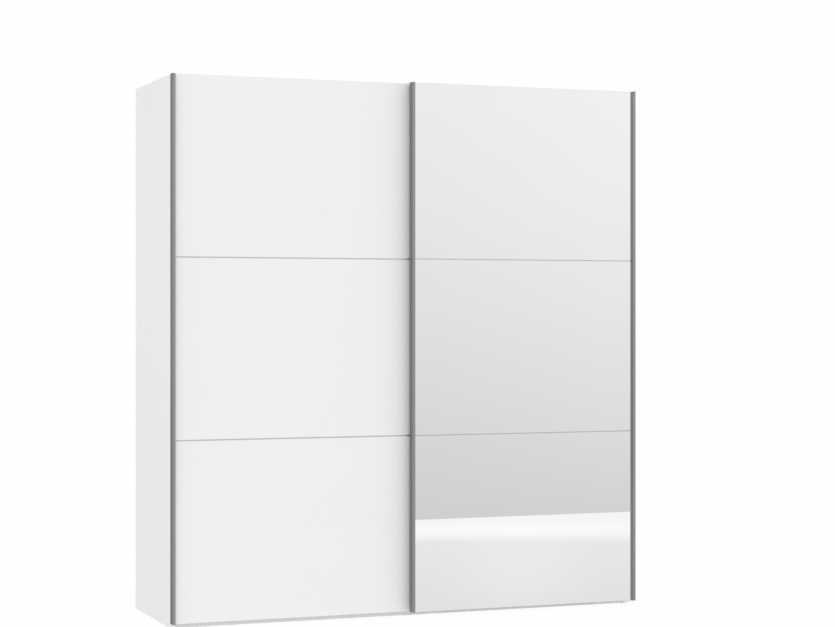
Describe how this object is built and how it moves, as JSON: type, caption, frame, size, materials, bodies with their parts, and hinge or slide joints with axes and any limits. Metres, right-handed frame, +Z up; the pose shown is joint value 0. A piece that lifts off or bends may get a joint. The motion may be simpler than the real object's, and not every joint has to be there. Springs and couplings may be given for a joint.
{
  "type": "sliding door wardrobe",
  "caption": "Free-standing wardrobe with one plain and one mirrored sliding door hung on rollers, full-height handle strips, and hat shelves and hanging rails inside.",
  "frame": {"origin": "centre of the bounding box at floor level", "axes": "+Z up, +X to the right along the doors, the doors face -Y and the back faces +Y"},
  "size_m": [1.983, 0.664, 2.163],
  "materials": {
    "white_board": "white melamine laminate, fine satin",
    "back_board": "lacquered fibreboard",
    "door_board": "white melamine laminate, smooth",
    "backing_board": "raw chipboard",
    "mirror_glass": "silvered float glass",
    "strip_aluminium": "grey anodised, satin",
    "trim_aluminium": "silver anodised, satin",
    "track_aluminium": "mill finish",
    "zinc_steel": "zinc plated",
    "white_steel": "white powder coat",
    "rail_steel": "bright chrome plate",
    "grey_plastic": "moulded, fine grain",
    "white_plastic": "moulded, natural",
    "buffer_rubber": "matt black",
    "pile": "woven pile"
  },
  "bodies": {
    "carcass": {"side_left": "white_board", "side_right": "white_board", "partition": "white_board", "top_panel": "white_board", "bottom_panel": "white_board", "plinth_front": "white_board", "plinth_rear": "white_board", "back_panels": "back_board", "back_joiners": "white_plastic", "back_nails": "zinc_steel", "shelf_left": "white_board", "shelf_right": "white_board", "shelf_pins": "zinc_steel", "hanging_rail_left": "rail_steel", "hanging_rail_right": "rail_steel", "rail_sockets": "white_plastic", "carcass_screws": "zinc_steel", "running_track": "track_aluminium", "track_stops": "zinc_steel", "stop_buffers": "buffer_rubber", "guide_rail": "track_aluminium", "cam_locks": "zinc_steel", "cam_bolts": "zinc_steel", "floor_glides": "white_plastic", "wall_brackets": "zinc_steel"},
    "rear_door": {"rear_panel_bottom": "door_board", "rear_panel_middle": "door_board", "rear_panel_top": "door_board", "rear_trims": "trim_aluminium", "rear_stile_left": "strip_aluminium", "rear_stile_right": "strip_aluminium", "rear_end_caps": "grey_plastic", "rear_hangers": "white_steel", "rear_axles": "zinc_steel", "rear_screws": "zinc_steel", "rear_guides": "zinc_steel", "rear_guide_shoes": "white_plastic", "rear_brushes": "pile"},
    "front_door": {"front_backing": "backing_board", "mirror_bottom": "mirror_glass", "mirror_middle": "mirror_glass", "mirror_top": "mirror_glass", "front_trims": "trim_aluminium", "front_stile_left": "strip_aluminium", "front_stile_right": "strip_aluminium", "front_end_caps": "grey_plastic", "front_hangers": "white_steel", "front_axles": "zinc_steel", "front_screws": "zinc_steel", "front_guides": "zinc_steel", "front_guide_shoes": "white_plastic"},
    "rear_wheel_1": {"rear_wheel_1": "white_plastic"},
    "rear_wheel_2": {"rear_wheel_2": "white_plastic"},
    "rear_wheel_3": {"rear_wheel_3": "white_plastic"},
    "rear_wheel_4": {"rear_wheel_4": "white_plastic"},
    "front_wheel_1": {"front_wheel_1": "white_plastic"},
    "front_wheel_2": {"front_wheel_2": "white_plastic"},
    "front_wheel_3": {"front_wheel_3": "white_plastic"},
    "front_wheel_4": {"front_wheel_4": "white_plastic"}
  },
  "joints": [
    {"name": "rear_door_slide", "type": "slide", "parent": "carcass", "child": "rear_door", "axis": [1, 0, 0], "range_m": [0, 0.9805]},
    {"name": "front_door_slide", "type": "slide", "parent": "carcass", "child": "front_door", "axis": [1, 0, 0], "range_m": [-0.9805, 0]},
    {"name": "rear_wheel_1_roll", "type": "hinge", "parent": "rear_door", "child": "rear_wheel_1", "pos_m": [-0.8915, -0.235, 2.1288], "axis": [0, 1, 0], "continuous": true},
    {"name": "rear_wheel_2_roll", "type": "hinge", "parent": "rear_door", "child": "rear_wheel_2", "pos_m": [-0.8515, -0.235, 2.1288], "axis": [0, 1, 0], "continuous": true},
    {"name": "rear_wheel_3_roll", "type": "hinge", "parent": "rear_door", "child": "rear_wheel_3", "pos_m": [-0.129, -0.235, 2.1288], "axis": [0, 1, 0], "continuous": true},
    {"name": "rear_wheel_4_roll", "type": "hinge", "parent": "rear_door", "child": "rear_wheel_4", "pos_m": [-0.089, -0.235, 2.1288], "axis": [0, 1, 0], "continuous": true},
    {"name": "front_wheel_1_roll", "type": "hinge", "parent": "front_door", "child": "front_wheel_1", "pos_m": [0.089, -0.199, 2.1288], "axis": [0, 1, 0], "continuous": true},
    {"name": "front_wheel_2_roll", "type": "hinge", "parent": "front_door", "child": "front_wheel_2", "pos_m": [0.129, -0.199, 2.1288], "axis": [0, 1, 0], "continuous": true},
    {"name": "front_wheel_3_roll", "type": "hinge", "parent": "front_door", "child": "front_wheel_3", "pos_m": [0.8515, -0.199, 2.1288], "axis": [0, 1, 0], "continuous": true},
    {"name": "front_wheel_4_roll", "type": "hinge", "parent": "front_door", "child": "front_wheel_4", "pos_m": [0.8915, -0.199, 2.1288], "axis": [0, 1, 0], "continuous": true}
  ],
  "couplings": [
    {"joint": "rear_wheel_1_roll", "follows": "rear_door_slide", "rad_per_m": 76.923},
    {"joint": "rear_wheel_2_roll", "follows": "rear_door_slide", "rad_per_m": 76.923},
    {"joint": "rear_wheel_3_roll", "follows": "rear_door_slide", "rad_per_m": 76.923},
    {"joint": "rear_wheel_4_roll", "follows": "rear_door_slide", "rad_per_m": 76.923},
    {"joint": "front_wheel_1_roll", "follows": "front_door_slide", "rad_per_m": 76.923},
    {"joint": "front_wheel_2_roll", "follows": "front_door_slide", "rad_per_m": 76.923},
    {"joint": "front_wheel_3_roll", "follows": "front_door_slide", "rad_per_m": 76.923},
    {"joint": "front_wheel_4_roll", "follows": "front_door_slide", "rad_per_m": 76.923}
  ]
}
